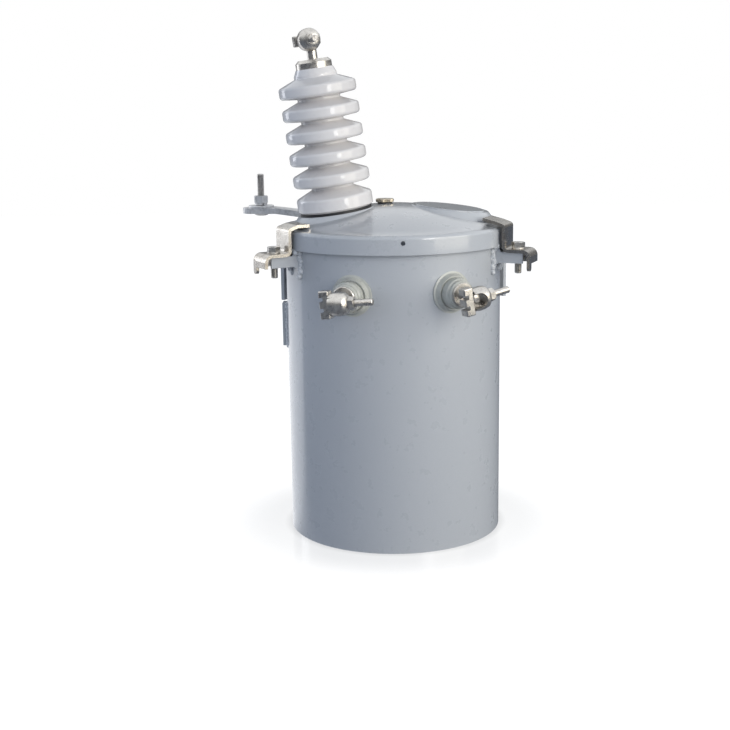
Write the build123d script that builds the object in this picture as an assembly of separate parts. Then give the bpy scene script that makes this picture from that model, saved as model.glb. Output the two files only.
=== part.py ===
from build123d import *
import os
from math import acos, atan2, cos, hypot, radians, sin, sqrt

# Pole mounted distribution transformer, single phase, small round tank.
# Millimetres, +Z up, origin on the tank axis at the tank's bottom rim.
# The low-voltage terminals face -Y and the pole hanger faces +Y.

# ---------------------------------------------------------------- tank and cover
tank_radius = 178.0          # outside of the rolled wall
tank_wall = 2.6
cover_edge_height = 482.0    # lower edge of the cover's skirt
skirt_depth = 30.0           # skirt, from its lower edge to the flat of the rim
cover_sheet = 2.5
dome_rise = 34.0
skirt_gap = 9.5              # between the tank wall and the inside of the skirt
rim_flat = 7.0               # flat ring inside the rounded edge of the cover
rim_round = 7.0
gasket_sheet = 3.0           # cover gasket, pressed
floor_recess = 8.0           # tank floor above the bottom rim
floor_sheet = 3.0
vent_hole = 7.0              # weep hole at the front of the skirt

# ---------------------------------------------------------------- lifting lugs and cover clamps
clamp_azimuths = {"left": -66.0, "right": 64.0, "back": 180.0}
lug_reach = 49.5             # from the tank wall
lug_width = 34.0
lug_plate = 4.0
lug_drop = 9.0               # lug's top, below the edge of the cover
lug_side = 17.5              # depth of the side at its outer end
lug_arch_reach = 13.0        # arch under the side plate
lug_arch_rise = 15.5
lug_foot = 1.0               # square foot of the side plate, between the wall and the arch
lug_ear = 8.0                # upstand against the tank above the lug's top
ear_thickness = 4.0
strap_width = 48.0
strap_thickness = 5.0
strap_toe_reach = 27.0       # toe on the cover, inwards from the rim
strap_toe_lifts = {"left": 0.4, "right": 5.4, "back": 0.4}   # the right toe bears on the blank boss
strap_over_rim = 5.5         # between the flat of the rim and the strap
strap_gap = 5.0              # between the skirt and the strap's leg
strap_curl_gap = 1.0         # between the lug's end and the start of the curl
strap_curl_radius = 10.0
strap_curl_drop = 17.0       # from the lug's top to the end of the curl
strap_tongue = 12.0
strap_tongue_width = 11.5
strap_bends = [12.0, 4.0, 7.5, strap_curl_radius]
bolt_diameter = 12.0
bolt_clearance = 1.5
bolt_across_flats = 19.0
bolt_head = 8.0
bolt_flange = 2.5
bolt_flange_radius = 10.5
bolt_below_lug = 35.0
nut_height = 10.5
thread_gap = 0.2

# ---------------------------------------------------------------- high-voltage bushing
bushing_azimuth = -81.0
bushing_offset = 94.5        # foot, from the tank axis
bushing_lean = 7.9           # degrees, outwards
boss_radius = 62.0
boss_flare = 12.0
blank_boss_azimuth = 81.0    # place for a second bushing, left blank
blank_boss_radius = 64.0
blank_boss_lean = 6.5
blank_boss_lift = 2.0        # of its top, above the dome at its middle
seal_thickness = 4.0
seal_radius = 58.5
porcelain_foot_radius = 61.8
porcelain_foot_height = 22.0
porcelain_foot_slope = 13.0  # rise from the foot's edge to the first neck
shed_count = 5
shed_pitch = 35.5
shed_radius = 62.3
shed_rim = 17.0
shed_round = 5.5
neck_radius = 34.5
neck_round = 1.8
shed_underside = 3.0         # drop from neck to rim, under a shed
neck_height = 4.0
porcelain_bore = 22.0
porcelain_head_radius = 30.0
porcelain_head_height = 14.0
cap_height = 14.0
stud_diameter = 16.0
stud_below_foot = 20.0

# ---------------------------------------------------------------- low-voltage terminals
terminal_azimuths = {"left": -26.0, "right": 26.0}
terminal_drops = {"left": 64.5, "right": 62.5}   # below the edge of the cover
eye_tilts = {"left": 6.0, "right": 9.5}
collar_radius = 30.0         # where the ring leaves the wall
collar_crest_radius = 27.0   # middle of its rounded crest
collar_height = 9.0
sleeve_radius = 24.0
sleeve_height = 14.0
sleeve_step_radius = 21.5
sleeve_step_height = 7.0
sleeve_insert = 25.0         # length inside the tank
washer_radius = 18.8
washer_height = 3.5
terminal_bore = 18.0
terminal_stud_reach = 37.0   # from the terminal washer to the stud's end
stud_end_round = 3.0
eye_radius = 18.5            # barrel of the eyebolt, about the eyebolt's own axis
eye_end_radius = 17.0
eye_mouth = 6.5              # from the stud's axis back to the barrel's open end
eye_length = 17.0            # from the stud's axis on to the barrel's shoulder
eye_hollow_radius = 11.5
eye_front_wall = 4.5
eye_setback = 30.5           # middle of the eye, from the terminal washer
eye_neck_radius = 9.0
eye_neck_end = 23.0          # from the stud's axis to the nut's seat
eye_rod_length = 62.0
eye_rod_diameter = 10.5
eye_sag = 3.0                # eye's axis below the stud's
eye_nut_across_flats = 18.0
eye_nut_height = 9.5
jaw_gap = 0.5
jaw_height = 43.0
jaw_depth = 16.0
jaw_width = 17.0
jaw_groove = 6.5
jaw_groove_depth = 7.0
jaw_round = 2.0

# ---------------------------------------------------------------- arrester bracket
arrester_line = 80.0         # the bar's own line, behind the tank axis
arrester_overhang = 27.5     # stud, out from the cover's skirt
arrester_end = 31.0          # rounded end of the bar, beyond the stud
arrester_rise = 24.5         # bar's top, above the flat of the rim
arrester_bar_width = 36.0
arrester_bar_thickness = 9.5
arrester_flare = 20.0        # added to the bar's width at its foot, on the front
arrester_bend_outset = 3.0   # upper bend, out from the cover's skirt
arrester_foot_inset = 48.0   # lower bend, in from the cover's skirt
arrester_foot_length = 30.0
arrester_bends = [14.0, 10.0]
arrester_stud_height = 56.5
arrester_washer_radius = 21.5
arrester_washer_thickness = 3.5
spring_washer_radius = 10.5
spring_washer_thickness = 4.0
arrester_nut_across_flats = 21.5
arrester_nut_height = 12.5
carriage_head_radius = 13.0
carriage_head_height = 5.0

# ---------------------------------------------------------------- pole hangers
hanger_standoff = 78.0       # pole face, from the tank wall
hanger_sheet = 6.0
hanger_spacing = 285.75      # between the upper and the lower bolt
upper_hanger_drop = 100.0    # hanger's lower edge, below the edge of the cover
upper_hanger_height = 68.0
upper_pad_width = 130.0
upper_arm_overlap = (7.0, 15.0)   # each arm's tip, left and right, out from the tank's radius
lower_hanger_height = 56.0
lower_pad_width = 84.0
lower_arm_overlap = (-22.0, -22.0)
hanger_bend = 14.0
hanger_slot_width = 17.5
hanger_slot_length = 30.0

# ---------------------------------------------------------------- small pieces
ground_bar_azimuth = -96.0
ground_bar_length = 72.0
ground_bar_width = 25.0
ground_bar_thickness = 8.0
ground_hole_diameter = 11.0
ground_hole_drop = 52.0      # from the bar's top
valve_x = -12.0
valve_y = 6.0
valve_body_radius = 12.0
valve_body_height = 2.0
valve_cap_radius = 15.0
valve_cap_height = 5.5
plate_radius = 58.0          # round plate that closes the blank boss
plate_sheet = 1.5

# ---------------------------------------------------------------- worked-out sizes
skirt_radius = tank_radius + skirt_gap + cover_sheet
rim_height = cover_edge_height + skirt_depth
flat_radius = skirt_radius - rim_round
dome_edge = flat_radius - rim_flat
dome_radius = (dome_edge**2 + dome_rise**2) / (2 * dome_rise)
dome_centre = rim_height + dome_rise - dome_radius
wall_top = rim_height - cover_sheet - gasket_sheet
lip_radius = flat_radius     # rolled lip on which the gasket lies
lug_top = cover_edge_height - lug_drop
terminal_heights = {side: cover_edge_height - drop for side, drop in terminal_drops.items()}
arrester_reach = skirt_radius + arrester_overhang
arrester_top = rim_height + arrester_rise
arrester_bend = skirt_radius + arrester_bend_outset
arrester_foot_start = skirt_radius - arrester_foot_inset
arrester_foot_end = arrester_foot_start - arrester_foot_length
upper_hanger_bottom = cover_edge_height - upper_hanger_drop
nut_seat = arrester_washer_thickness + spring_washer_thickness


def dome_height(x, y, above=0.0):
    """Height of the dome's outside at a plan position, or of a surface above it."""
    return dome_centre + sqrt((dome_radius + above) ** 2 - x * x - y * y)


def lathe(*points):
    """Turn a closed (radius, height) outline about the Z axis."""
    return revolve(make_face(Plane.XZ * Polyline(*points, close=True)), Axis.Z)


def turned_face(face):
    """Turn a face drawn as (radius, height) about the Z axis."""
    return revolve(Plane.XZ * face, Axis.Z)


def at_azimuth(shape, azimuth):
    """Carry a piece drawn on the +X side to an azimuth, from the front towards +X."""
    return Rot(Z=azimuth - 90) * shape


def hexagon(across_flats, height, bore=0.0):
    """Hexagonal head or nut with its lower edge at Z = 0, chamfered on its top."""
    blank = extrude(RegularPolygon(across_flats / 2, 6, major_radius=False), height)
    corner = across_flats / 2 / cos(radians(30))
    cone = lathe(
        (0, -1), (corner + 1, -1), (corner + 1, height - 2), (across_flats / 2 - 0.5, height), (0, height)
    )
    nut = blank & cone
    if bore:
        nut -= Cylinder(bore, height, align=(Align.CENTER, Align.CENTER, Align.MIN))
    return nut


def rod(radius, length):
    """Round bar standing on Z = 0 with a small chamfer at its top."""
    bevel = min(1.2, radius / 4)
    return lathe((0, 0), (radius, 0), (radius, length - bevel), (radius - bevel, length), (0, length))


def bent_strip(corners, radii, width, thickness):
    """Flat bar bent along a line of (x, z) corners, with a bend radius at each inner corner."""
    path = Plane.XZ * FilletPolyline(*corners, radius=radii)
    section = Plane(origin=path @ 0, x_dir=(0, 1, 0), z_dir=path % 0) * Rectangle(width, thickness)
    return sweep(section, path=path)


# ---------------------------------------------------------------- tank
def tank_wall_piece():
    """Rolled wall with an out-turned lip at its top and the holes for the terminals."""
    inner = tank_radius - tank_wall
    wall = lathe(
        (inner, 0),
        (tank_radius, 0),
        (tank_radius, wall_top - tank_wall),
        (lip_radius, wall_top - tank_wall),
        (lip_radius, wall_top),
        (inner, wall_top),
    )
    for side, azimuth in terminal_azimuths.items():
        hole = Pos(tank_radius, 0, terminal_heights[side]) * Rot(Y=90) * Cylinder(sleeve_step_radius, 40)
        wall -= at_azimuth(hole, azimuth)
    return wall


def tank_floor_piece():
    """Pressed floor, set up inside the wall on its own turned-down edge."""
    inner = tank_radius - tank_wall
    top = floor_recess + floor_sheet
    return lathe(
        (0, floor_recess),
        (inner - floor_sheet, floor_recess),
        (inner - floor_sheet, 1.0),
        (inner, 1.0),
        (inner, top),
        (0, top),
    )


def cover_gasket_piece():
    return lathe(
        (tank_radius - tank_wall, wall_top),
        (lip_radius, wall_top),
        (lip_radius, wall_top + gasket_sheet),
        (tank_radius - tank_wall, wall_top + gasket_sheet),
    )


def cover_section():
    """Half section of the pressed cover: dome, flat ring, rounded edge and skirt."""
    inner_dome = dome_radius - cover_sheet
    under = rim_height - cover_sheet
    inner_edge = sqrt(inner_dome**2 - (under - dome_centre) ** 2)
    inner_round = rim_round - cover_sheet
    half_angle = acos((rim_height - dome_centre) / dome_radius) / 2
    inner_half_angle = acos((under - dome_centre) / inner_dome) / 2

    def on_dome(radius, angle):
        return (radius * sin(angle), dome_centre + radius * cos(angle))

    shoulder = rim_height - rim_round
    centre = (flat_radius, shoulder)
    diagonal = sqrt(0.5)
    outline = [
        ThreePointArc((0, dome_centre + dome_radius), on_dome(dome_radius, half_angle), (dome_edge, rim_height)),
        Line((dome_edge, rim_height), (flat_radius, rim_height)),
        ThreePointArc(
            (flat_radius, rim_height),
            (centre[0] + rim_round * diagonal, centre[1] + rim_round * diagonal),
            (skirt_radius, shoulder),
        ),
        Line((skirt_radius, shoulder), (skirt_radius, cover_edge_height)),
        Line((skirt_radius, cover_edge_height), (skirt_radius - cover_sheet, cover_edge_height)),
        Line((skirt_radius - cover_sheet, cover_edge_height), (skirt_radius - cover_sheet, shoulder)),
        ThreePointArc(
            (skirt_radius - cover_sheet, shoulder),
            (centre[0] + inner_round * diagonal, centre[1] + inner_round * diagonal),
            (flat_radius, under),
        ),
        Line((flat_radius, under), (inner_edge, under)),
        ThreePointArc((inner_edge, under), on_dome(inner_dome, inner_half_angle), (0, dome_centre + inner_dome)),
        Line((0, dome_centre + inner_dome), (0, dome_centre + dome_radius)),
    ]
    return make_face(Wire(outline))


# The bushing's own frame: its foot on the boss, its axis leaning outwards.
bushing_frame = Pos(bushing_offset, 0, dome_height(bushing_offset, 0)) * Rot(Y=bushing_lean)


def on_bushing(shape):
    """Carry a piece drawn on the Z axis onto the leaning axis of the bushing."""
    return at_azimuth(bushing_frame * shape, bushing_azimuth)


def on_blank_boss(shape):
    """Carry a piece drawn on the Z axis onto the top of the blank boss."""
    height = dome_height(bushing_offset, 0) + blank_boss_lift
    return at_azimuth(Pos(bushing_offset, 0, height) * Rot(Y=blank_boss_lean) * shape, blank_boss_azimuth)


def boss(radius):
    """Raised seat with a sloping side, reaching down through the dome."""
    base = radius + boss_flare
    return lathe((0, -dome_rise), (base, -dome_rise), (base, -boss_flare), (radius, 0), (0, 0))


def cover_piece():
    """Pressed cover with its two raised bosses and the weep hole in its skirt."""
    cover = turned_face(cover_section())
    inside = Pos(0, 0, dome_centre) * Sphere(dome_radius - cover_sheet)
    cover += on_bushing(boss(boss_radius)) - inside
    cover += on_blank_boss(boss(blank_boss_radius)) - inside
    cover -= on_bushing(Cylinder(boss_radius, dome_rise, align=(Align.CENTER, Align.CENTER, Align.MIN)))
    cover -= on_bushing(Cylinder(neck_radius, 120))
    hole = Pos(skirt_radius, 0, cover_edge_height + skirt_depth * 0.62) * Rot(Y=90) * Cylinder(vent_hole / 2, 20)
    cover -= at_azimuth(hole, 0)
    cover -= Pos(valve_x, valve_y, rim_height) * Cylinder(valve_body_radius / 2, 120)
    return cover


def cover_plate_piece():
    """Round plate that closes the blank boss."""
    return on_blank_boss(
        lathe((0, 0), (plate_radius, 0), (plate_radius, plate_sheet - 1), (plate_radius - 1, plate_sheet), (0, plate_sheet))
    )


def valve_pieces():
    """Fill plug in the cover: hexagonal body on the dome and a knurled cap on it."""
    place = Pos(valve_x, valve_y, dome_height(valve_x, valve_y))
    body = place * Cylinder(valve_body_radius, 2 * valve_body_height) - Pos(0, 0, dome_centre) * Sphere(dome_radius)
    stem = Cylinder(
        valve_body_radius / 2 - thread_gap, 4 * valve_body_height, align=(Align.CENTER, Align.CENTER, Align.MAX)
    )
    body += place * Pos(0, 0, valve_body_height) * stem
    top = valve_body_height + valve_cap_height
    cap = lathe(
        (0, valve_body_height),
        (valve_cap_radius - 1, valve_body_height),
        (valve_cap_radius, valve_body_height + 1),
        (valve_cap_radius, top - 1),
        (valve_cap_radius - 1.5, top),
        (0, top),
    )
    return body, place * cap


# ---------------------------------------------------------------- lugs, clamps and their bolts
lug_end = tank_radius + lug_reach
strap_leg = skirt_radius + strap_gap + strap_thickness / 2
bolt_radius = strap_leg + strap_bends[2] + bolt_flange_radius


def lug_piece():
    """Pressed lifting lug: an inverted channel with arched sides, welded to the wall."""
    inside = tank_radius - lug_width
    ear = tank_radius + skirt_gap
    bottom = lug_top - lug_side
    root = bottom - lug_arch_rise
    foot = tank_radius + lug_foot
    arch = foot + lug_arch_reach
    outline = make_face(
        Wire([
            Line((inside, lug_top + lug_ear), (ear, lug_top + lug_ear)),
            Line((ear, lug_top + lug_ear), (ear + ear_thickness, lug_top)),
            Line((ear + ear_thickness, lug_top), (lug_end, lug_top)),
            Line((lug_end, lug_top), (lug_end, bottom)),
            Line((lug_end, bottom), (arch, bottom)),
            EllipticalCenterArc((arch, root), lug_arch_reach, lug_arch_rise, 90, arc_size=90),
            Line((foot, root), (inside, root)),
            Line((inside, root), (inside, lug_top + lug_ear)),
        ])
    )
    channel = extrude(Plane.XZ * outline, lug_width / 2, both=True)
    inner = lug_width - 2 * lug_plate
    depth = lug_side + lug_arch_rise + lug_ear
    channel -= Pos(lug_end, 0, lug_top - lug_plate - depth / 2) * Box(4 * lug_reach, inner, depth)
    channel -= Pos(lug_end, 0, lug_top + lug_ear) * Box(4 * lug_reach, inner, 2 * lug_ear)
    channel -= Cylinder(tank_radius, 2 * lug_top + 2 * lug_ear + 1)
    channel -= Pos(bolt_radius, 0, lug_top) * Cylinder((bolt_diameter + bolt_clearance) / 2, 3 * lug_plate)
    return channel


def strap_piece(toe_lift):
    """Cover clamp: strap from the cover, over the rim and down to the lug, curled at its end."""
    half = strap_thickness / 2
    toe_radius = skirt_radius - strap_toe_reach
    toe_height = dome_height(toe_radius, 0) + half + toe_lift
    over_rim = rim_height + strap_over_rim + half
    on_lug = lug_top + half
    curl = lug_end + strap_curl_gap + strap_curl_radius
    curl_end = lug_top - strap_curl_drop
    corners = [
        (toe_radius, toe_height),
        (flat_radius, over_rim),
        (strap_leg, over_rim - strap_gap),
        (strap_leg, on_lug),
        (curl, on_lug),
        (curl, curl_end),
    ]
    strap = bent_strip(corners, strap_bends, strap_width, strap_thickness)
    tongue_side = -(strap_width - strap_tongue_width) / 2
    tongue = Pos(curl, tongue_side, curl_end) * Rot(Y=90) * extrude(
        SlotOverall(2 * strap_tongue, strap_tongue_width), half, both=True
    )
    strap += tongue
    strap -= Pos(bolt_radius, 0, on_lug) * Cylinder((bolt_diameter + bolt_clearance) / 2, 3 * strap_thickness)
    return strap


def clamp_bolt_piece():
    """Flanged hexagon bolt through the strap and the lug."""
    seat = lug_top + strap_thickness
    flange = Cylinder(bolt_flange_radius, bolt_flange, align=(Align.CENTER, Align.CENTER, Align.MIN))
    head = Pos(0, 0, bolt_flange) * hexagon(bolt_across_flats, bolt_head)
    length = strap_thickness + bolt_below_lug
    shank = Rot(X=180) * rod(bolt_diameter / 2, length)
    return Pos(bolt_radius, 0, seat) * (flange + head + shank)


def clamp_nut_piece():
    """Nut inside the lug, under its top."""
    nut = hexagon(bolt_across_flats, nut_height, bolt_diameter / 2 + thread_gap)
    return Pos(bolt_radius, 0, lug_top - lug_plate) * Rot(X=180) * nut


# ---------------------------------------------------------------- high-voltage bushing
def porcelain_piece():
    """Glazed porcelain with its foot, its row of sheds and its head; also gives its height."""
    bore = porcelain_bore / 2
    points = [
        (bore, 0),
        (porcelain_foot_radius - 4, 0),
        (porcelain_foot_radius, 3),
        (porcelain_foot_radius, porcelain_foot_height),
    ]
    height = porcelain_foot_height + porcelain_foot_slope
    points.append((neck_radius, height))
    for _ in range(shed_count):
        under = height + neck_height
        points.append((neck_radius, under))
        points.append((shed_radius, under + shed_underside))
        points.append((shed_radius, under + shed_underside + shed_rim))
        height += shed_pitch
        points.append((neck_radius, height))
    top = height + porcelain_head_height
    points += [(neck_radius, height + neck_height), (porcelain_head_radius, top), (bore, top)]
    face = make_face(Polyline(*points, close=True))
    rims = [v for v in face.vertices() if v.X > neck_radius + 1 and v.Y > neck_height]
    face = fillet(rims, shed_round)
    necks = [v for v in face.vertices() if abs(v.X - neck_radius) < 0.01]
    face = fillet(necks, neck_round)
    return turned_face(face), top


def bushing_pieces():
    """Every piece on the bushing's axis, from its gasket to its stud."""
    seal = lathe(
        (porcelain_bore / 2, 0), (seal_radius, 0), (seal_radius, seal_thickness), (porcelain_bore / 2, seal_thickness)
    )
    porcelain, top = porcelain_piece()
    seat = seal_thickness + top
    half = stud_diameter / 2
    cap = lathe(
        (half + thread_gap, 0), (porcelain_head_radius - 1, 0), (porcelain_head_radius - 1, cap_height - 5),
        (porcelain_head_radius - 6, cap_height), (half + thread_gap, cap_height),
    )
    stud = rod(half, seat + cap_height + terminal_stud_reach + stud_below_foot)
    connector = Pos(0, 0, seat + cap_height - terminal_washer_end) * Rot(Y=-90) * Pos(0, 0, -eye_sag)
    return {
        "hv_gasket": on_bushing(seal),
        "hv_bushing": on_bushing(Pos(0, 0, seal_thickness) * porcelain),
        "hv_cap": on_bushing(Pos(0, 0, seat) * cap),
        "hv_stud": on_bushing(Pos(0, 0, -stud_below_foot) * stud),
        "hv_eye": on_bushing(connector * eye_piece(True)),
        "hv_jaw": on_bushing(connector * jaw_piece()),
        "hv_eye_nut": on_bushing(connector * eye_nut_piece()),
    }


# ---------------------------------------------------------------- terminals
collar_end = tank_radius + collar_height
sleeve_end = collar_end + sleeve_height
sleeve_step_end = sleeve_end + sleeve_step_height
terminal_washer_end = sleeve_step_end + washer_height
eye_centre = terminal_washer_end + eye_setback


def along_radius(*points):
    """Turn a closed (radius, distance from the tank axis) outline about the X axis."""
    return Rot(Y=90) * lathe(*points)


def collar_piece():
    """Ring pressed out of the wall around the terminal, with a rounded crest."""
    bore = sleeve_step_radius
    crest = collar_crest_radius
    face = make_face(
        Wire([
            Line((bore, tank_radius - collar_height), (collar_radius + 3, tank_radius - collar_height)),
            Line((collar_radius + 3, tank_radius - collar_height), (collar_radius + 3, tank_radius)),
            Line((collar_radius + 3, tank_radius), (collar_radius, tank_radius + 1)),
            ThreePointArc(
                (collar_radius, tank_radius + 1),
                (collar_radius - 2, tank_radius + collar_height * 0.7),
                (crest, collar_end),
            ),
            ThreePointArc((crest, collar_end), (crest - 3, collar_end - 1), (bore, collar_end - 3.5)),
            Line((bore, collar_end - 3.5), (bore, tank_radius - collar_height)),
        ])
    )
    return Rot(Y=90) * turned_face(face) - Cylinder(tank_radius, 4 * collar_radius)


def sleeve_piece():
    """Moulded bushing, stepped down towards its stud."""
    bore = terminal_bore / 2
    return along_radius(
        (bore, tank_radius - sleeve_insert),
        (sleeve_step_radius - 1, tank_radius - sleeve_insert),
        (sleeve_step_radius - 1, collar_end),
        (sleeve_radius, collar_end),
        (sleeve_radius, sleeve_end - 2),
        (sleeve_radius - 2, sleeve_end),
        (sleeve_step_radius, sleeve_end),
        (sleeve_step_radius, sleeve_step_end - 2),
        (sleeve_step_radius - 2, sleeve_step_end),
        (bore, sleeve_step_end),
    )


def stud_piece():
    """Stud with the washer that seats on the bushing and a rounded end."""
    half = stud_diameter / 2
    end = terminal_washer_end + terminal_stud_reach
    inner_end = tank_radius - sleeve_insert - stud_end_round
    return along_radius(
        (0, inner_end),
        (half, inner_end),
        (half, sleeve_step_end),
        (washer_radius, sleeve_step_end),
        (washer_radius, terminal_washer_end - 1),
        (washer_radius - 1, terminal_washer_end),
        (half, terminal_washer_end),
        (half, end - stud_end_round),
        (half - stud_end_round / 3, end - stud_end_round / 3),
        (half - stud_end_round, end),
        (0, end),
    )


def eye_piece(open_front):
    """Eyebolt: barrel around the stud, hollow towards the jaw, and a tail along +Y."""
    half = eye_rod_diameter / 2
    face = make_face(
        Wire([
            Line((0, -eye_mouth), (eye_end_radius, -eye_mouth)),
            ThreePointArc(
                (eye_end_radius, -eye_mouth),
                (eye_radius, (eye_length - eye_mouth) / 2),
                (eye_end_radius, eye_length),
            ),
            ThreePointArc(
                (eye_end_radius, eye_length),
                (eye_end_radius - 3, eye_neck_end - 2.5),
                (eye_neck_radius, eye_neck_end),
            ),
            Line((eye_neck_radius, eye_neck_end), (half, eye_neck_end)),
            Line((half, eye_neck_end), (half, eye_rod_length - 1)),
            Line((half, eye_rod_length - 1), (half - 1, eye_rod_length)),
            Line((half - 1, eye_rod_length), (0, eye_rod_length)),
            Line((0, eye_rod_length), (0, -eye_mouth)),
        ])
    )
    barrel = Rot(X=-90) * turned_face(face)
    floor = 2 * eye_radius if open_front else eye_radius - eye_front_wall
    depth = 4 * eye_radius
    hollow = Pos(floor, 0, 0) * Rot(Y=90) * Cylinder(
        eye_hollow_radius, depth, align=(Align.CENTER, Align.CENTER, Align.MAX)
    )
    slot = Pos(floor - depth / 2, -eye_mouth, 0) * Box(depth, 2 * eye_mouth, 2 * eye_hollow_radius)
    return Pos(eye_centre, 0, 0) * (barrel - hollow - slot)


def eye_nut_piece():
    nut = hexagon(eye_nut_across_flats, eye_nut_height, eye_rod_diameter / 2 + thread_gap)
    return Pos(eye_centre, eye_neck_end, 0) * Rot(X=-90) * nut


def jaw_piece():
    """Jaw that closes the eye, with two grooves for the conductor."""
    near = -eye_mouth - jaw_gap
    jaw = Pos(eye_centre, near - jaw_depth / 2, 0) * fillet(
        Box(jaw_width, jaw_depth, jaw_height).edges(), jaw_round
    )
    pitch = (jaw_height + jaw_groove) / 3
    for side in (-1, 1):
        jaw -= Pos(eye_centre, near - jaw_depth, side * pitch / 2) * Box(
            2 * jaw_width, 2 * jaw_groove_depth, jaw_groove
        )
    saddle = Pos(eye_centre, 0, eye_sag) * Rot(Y=90) * Cylinder(stud_diameter / 2 + jaw_gap, 2 * jaw_width)
    return jaw - saddle


# ---------------------------------------------------------------- arrester bracket
def arrester_bar():
    """Bar with a rounded end, flared towards its foot on the dome, drawn along +X."""
    half = arrester_bar_thickness / 2
    side = arrester_bar_width / 2
    wide = side + arrester_flare
    end = arrester_reach + arrester_end

    def over_dome(distance):
        return (distance, dome_height(distance, arrester_line - side, half))

    corners = [
        (end, arrester_top - half),
        (arrester_bend, arrester_top - half),
        over_dome(arrester_foot_start),
        over_dome(arrester_foot_end),
    ]
    bar = bent_strip(corners, arrester_bends, 2 * wide, arrester_bar_thickness)
    foot = Pos(arrester_foot_end + arrester_foot_length / 2, 0, rim_height) * Box(
        arrester_foot_length, 2 * wide, 2 * dome_rise
    )
    bar += foot & (Pos(0, 0, 1 - arrester_bar_thickness) * bar)
    flared = make_face(
        Polyline(
            (end - side, -side), (end - side, side), (arrester_foot_start, wide), (arrester_foot_end, side),
            (arrester_foot_end, -side), close=True,
        )
    )
    outline = extrude(flared + Pos(end - side, 0) * Circle(side), 2 * dome_rise, both=True)
    bar &= Pos(0, 0, arrester_top) * outline
    bar -= Pos(0, arrester_line, dome_centre) * Sphere(dome_radius)
    return bar - Pos(arrester_reach, 0, arrester_top) * Cylinder(
        (bolt_diameter + bolt_clearance) / 2, 4 * arrester_bar_thickness
    )


def arrester_pieces():
    """Bar with its upright stud: round-headed bolt, flat and spring washer, and heavy nut."""
    bore = bolt_diameter / 2 + thread_gap
    head = Rot(X=180) * lathe(
        (0, 0),
        (carriage_head_radius, 0),
        (carriage_head_radius - 1, carriage_head_height * 0.4),
        (carriage_head_radius / 2, carriage_head_height),
        (0, carriage_head_height),
    )
    shank = rod(bolt_diameter / 2, arrester_stud_height + arrester_bar_thickness)
    washers = lathe(
        (bore, 0),
        (arrester_washer_radius, 0),
        (arrester_washer_radius, arrester_washer_thickness),
        (spring_washer_radius, arrester_washer_thickness),
        (spring_washer_radius, nut_seat),
        (bore, nut_seat),
    )
    nut = Pos(0, 0, nut_seat) * hexagon(arrester_nut_across_flats, arrester_nut_height, bore)
    stud_place = Pos(arrester_reach, 0, arrester_top)
    pieces = {
        "arrester_bracket": arrester_bar(),
        "arrester_bolt": stud_place * Pos(0, 0, -arrester_bar_thickness) * (head + shank),
        "arrester_washer": stud_place * washers,
        "arrester_nut": stud_place * nut,
    }
    return {name: Pos(0, arrester_line, 0) * Rot(Z=180) * piece for name, piece in pieces.items()}


# ---------------------------------------------------------------- pole hangers
def hanger_piece(bottom, height, pad_width, overlap):
    """Bracket folded from plate: a pad for the pole and two arms that lie along the wall."""
    middle = hanger_sheet / 2
    pad_line = tank_radius + hanger_standoff - middle
    corner = pad_width / 2
    touch = tank_radius + middle
    angle = atan2(corner, pad_line) + acos(touch / hypot(corner, pad_line))
    tips = [tank_radius + beyond for beyond in overlap]
    left, right = [(tip, (touch - tip * sin(angle)) / cos(angle)) for tip in tips]
    points = [(-left[0], left[1]), (-corner, pad_line), (corner, pad_line), right]
    path = Pos(0, 0, bottom + height / 2) * FilletPolyline(*points, radius=hanger_bend)
    section = Plane(origin=path @ 0, x_dir=(0, 0, 1), z_dir=path % 0) * Rectangle(height, hanger_sheet)
    bracket = sweep(section, path=path)
    slot = Pos(0, pad_line, bottom + height / 2) * Rot(X=90) * extrude(
        Rot(Z=90) * SlotOverall(hanger_slot_length, hanger_slot_width), 2 * hanger_sheet, both=True
    )
    return bracket - slot


def ground_bar_piece():
    """Flat bar welded upright on the wall under the hanger's arm, with its bolt hole."""
    outside = tank_radius + ground_bar_thickness
    deep = 2 * ground_bar_thickness
    bar = Pos(outside - deep / 2, 0, upper_hanger_bottom - ground_bar_length / 2) * Box(
        deep, ground_bar_width, ground_bar_length
    )
    bar -= Cylinder(tank_radius, 2 * upper_hanger_bottom)
    bar -= Pos(outside, 0, upper_hanger_bottom - ground_hole_drop) * Rot(Y=90) * Cylinder(
        ground_hole_diameter / 2, 2 * deep
    )
    return at_azimuth(bar, ground_bar_azimuth)


pieces = {
    "tank_wall": tank_wall_piece(),
    "tank_floor": tank_floor_piece(),
    "cover_gasket": cover_gasket_piece(),
    "cover": cover_piece(),
    "cover_plate": cover_plate_piece(),
}
pieces["fill_plug"], pieces["fill_cap"] = valve_pieces()
for side, azimuth in clamp_azimuths.items():
    pieces[f"lug_{side}"] = at_azimuth(lug_piece(), azimuth)
    pieces[f"clamp_{side}"] = at_azimuth(strap_piece(strap_toe_lifts[side]), azimuth)
    pieces[f"clamp_bolt_{side}"] = at_azimuth(clamp_bolt_piece(), azimuth)
    pieces[f"clamp_nut_{side}"] = at_azimuth(clamp_nut_piece(), azimuth)
pieces.update(bushing_pieces())
for side, azimuth in terminal_azimuths.items():
    lift = Pos(0, 0, terminal_heights[side])
    hang = lift * Rot(X=eye_tilts[side]) * Pos(0, 0, -eye_sag)
    pieces[f"lv_collar_{side}"] = at_azimuth(lift * collar_piece(), azimuth)
    pieces[f"lv_bushing_{side}"] = at_azimuth(lift * sleeve_piece(), azimuth)
    pieces[f"lv_stud_{side}"] = at_azimuth(lift * stud_piece(), azimuth)
    pieces[f"lv_eye_{side}"] = at_azimuth(hang * eye_piece(side == "right"), azimuth)
    pieces[f"lv_jaw_{side}"] = at_azimuth(hang * jaw_piece(), azimuth)
    pieces[f"lv_eye_nut_{side}"] = at_azimuth(hang * eye_nut_piece(), azimuth)
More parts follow.
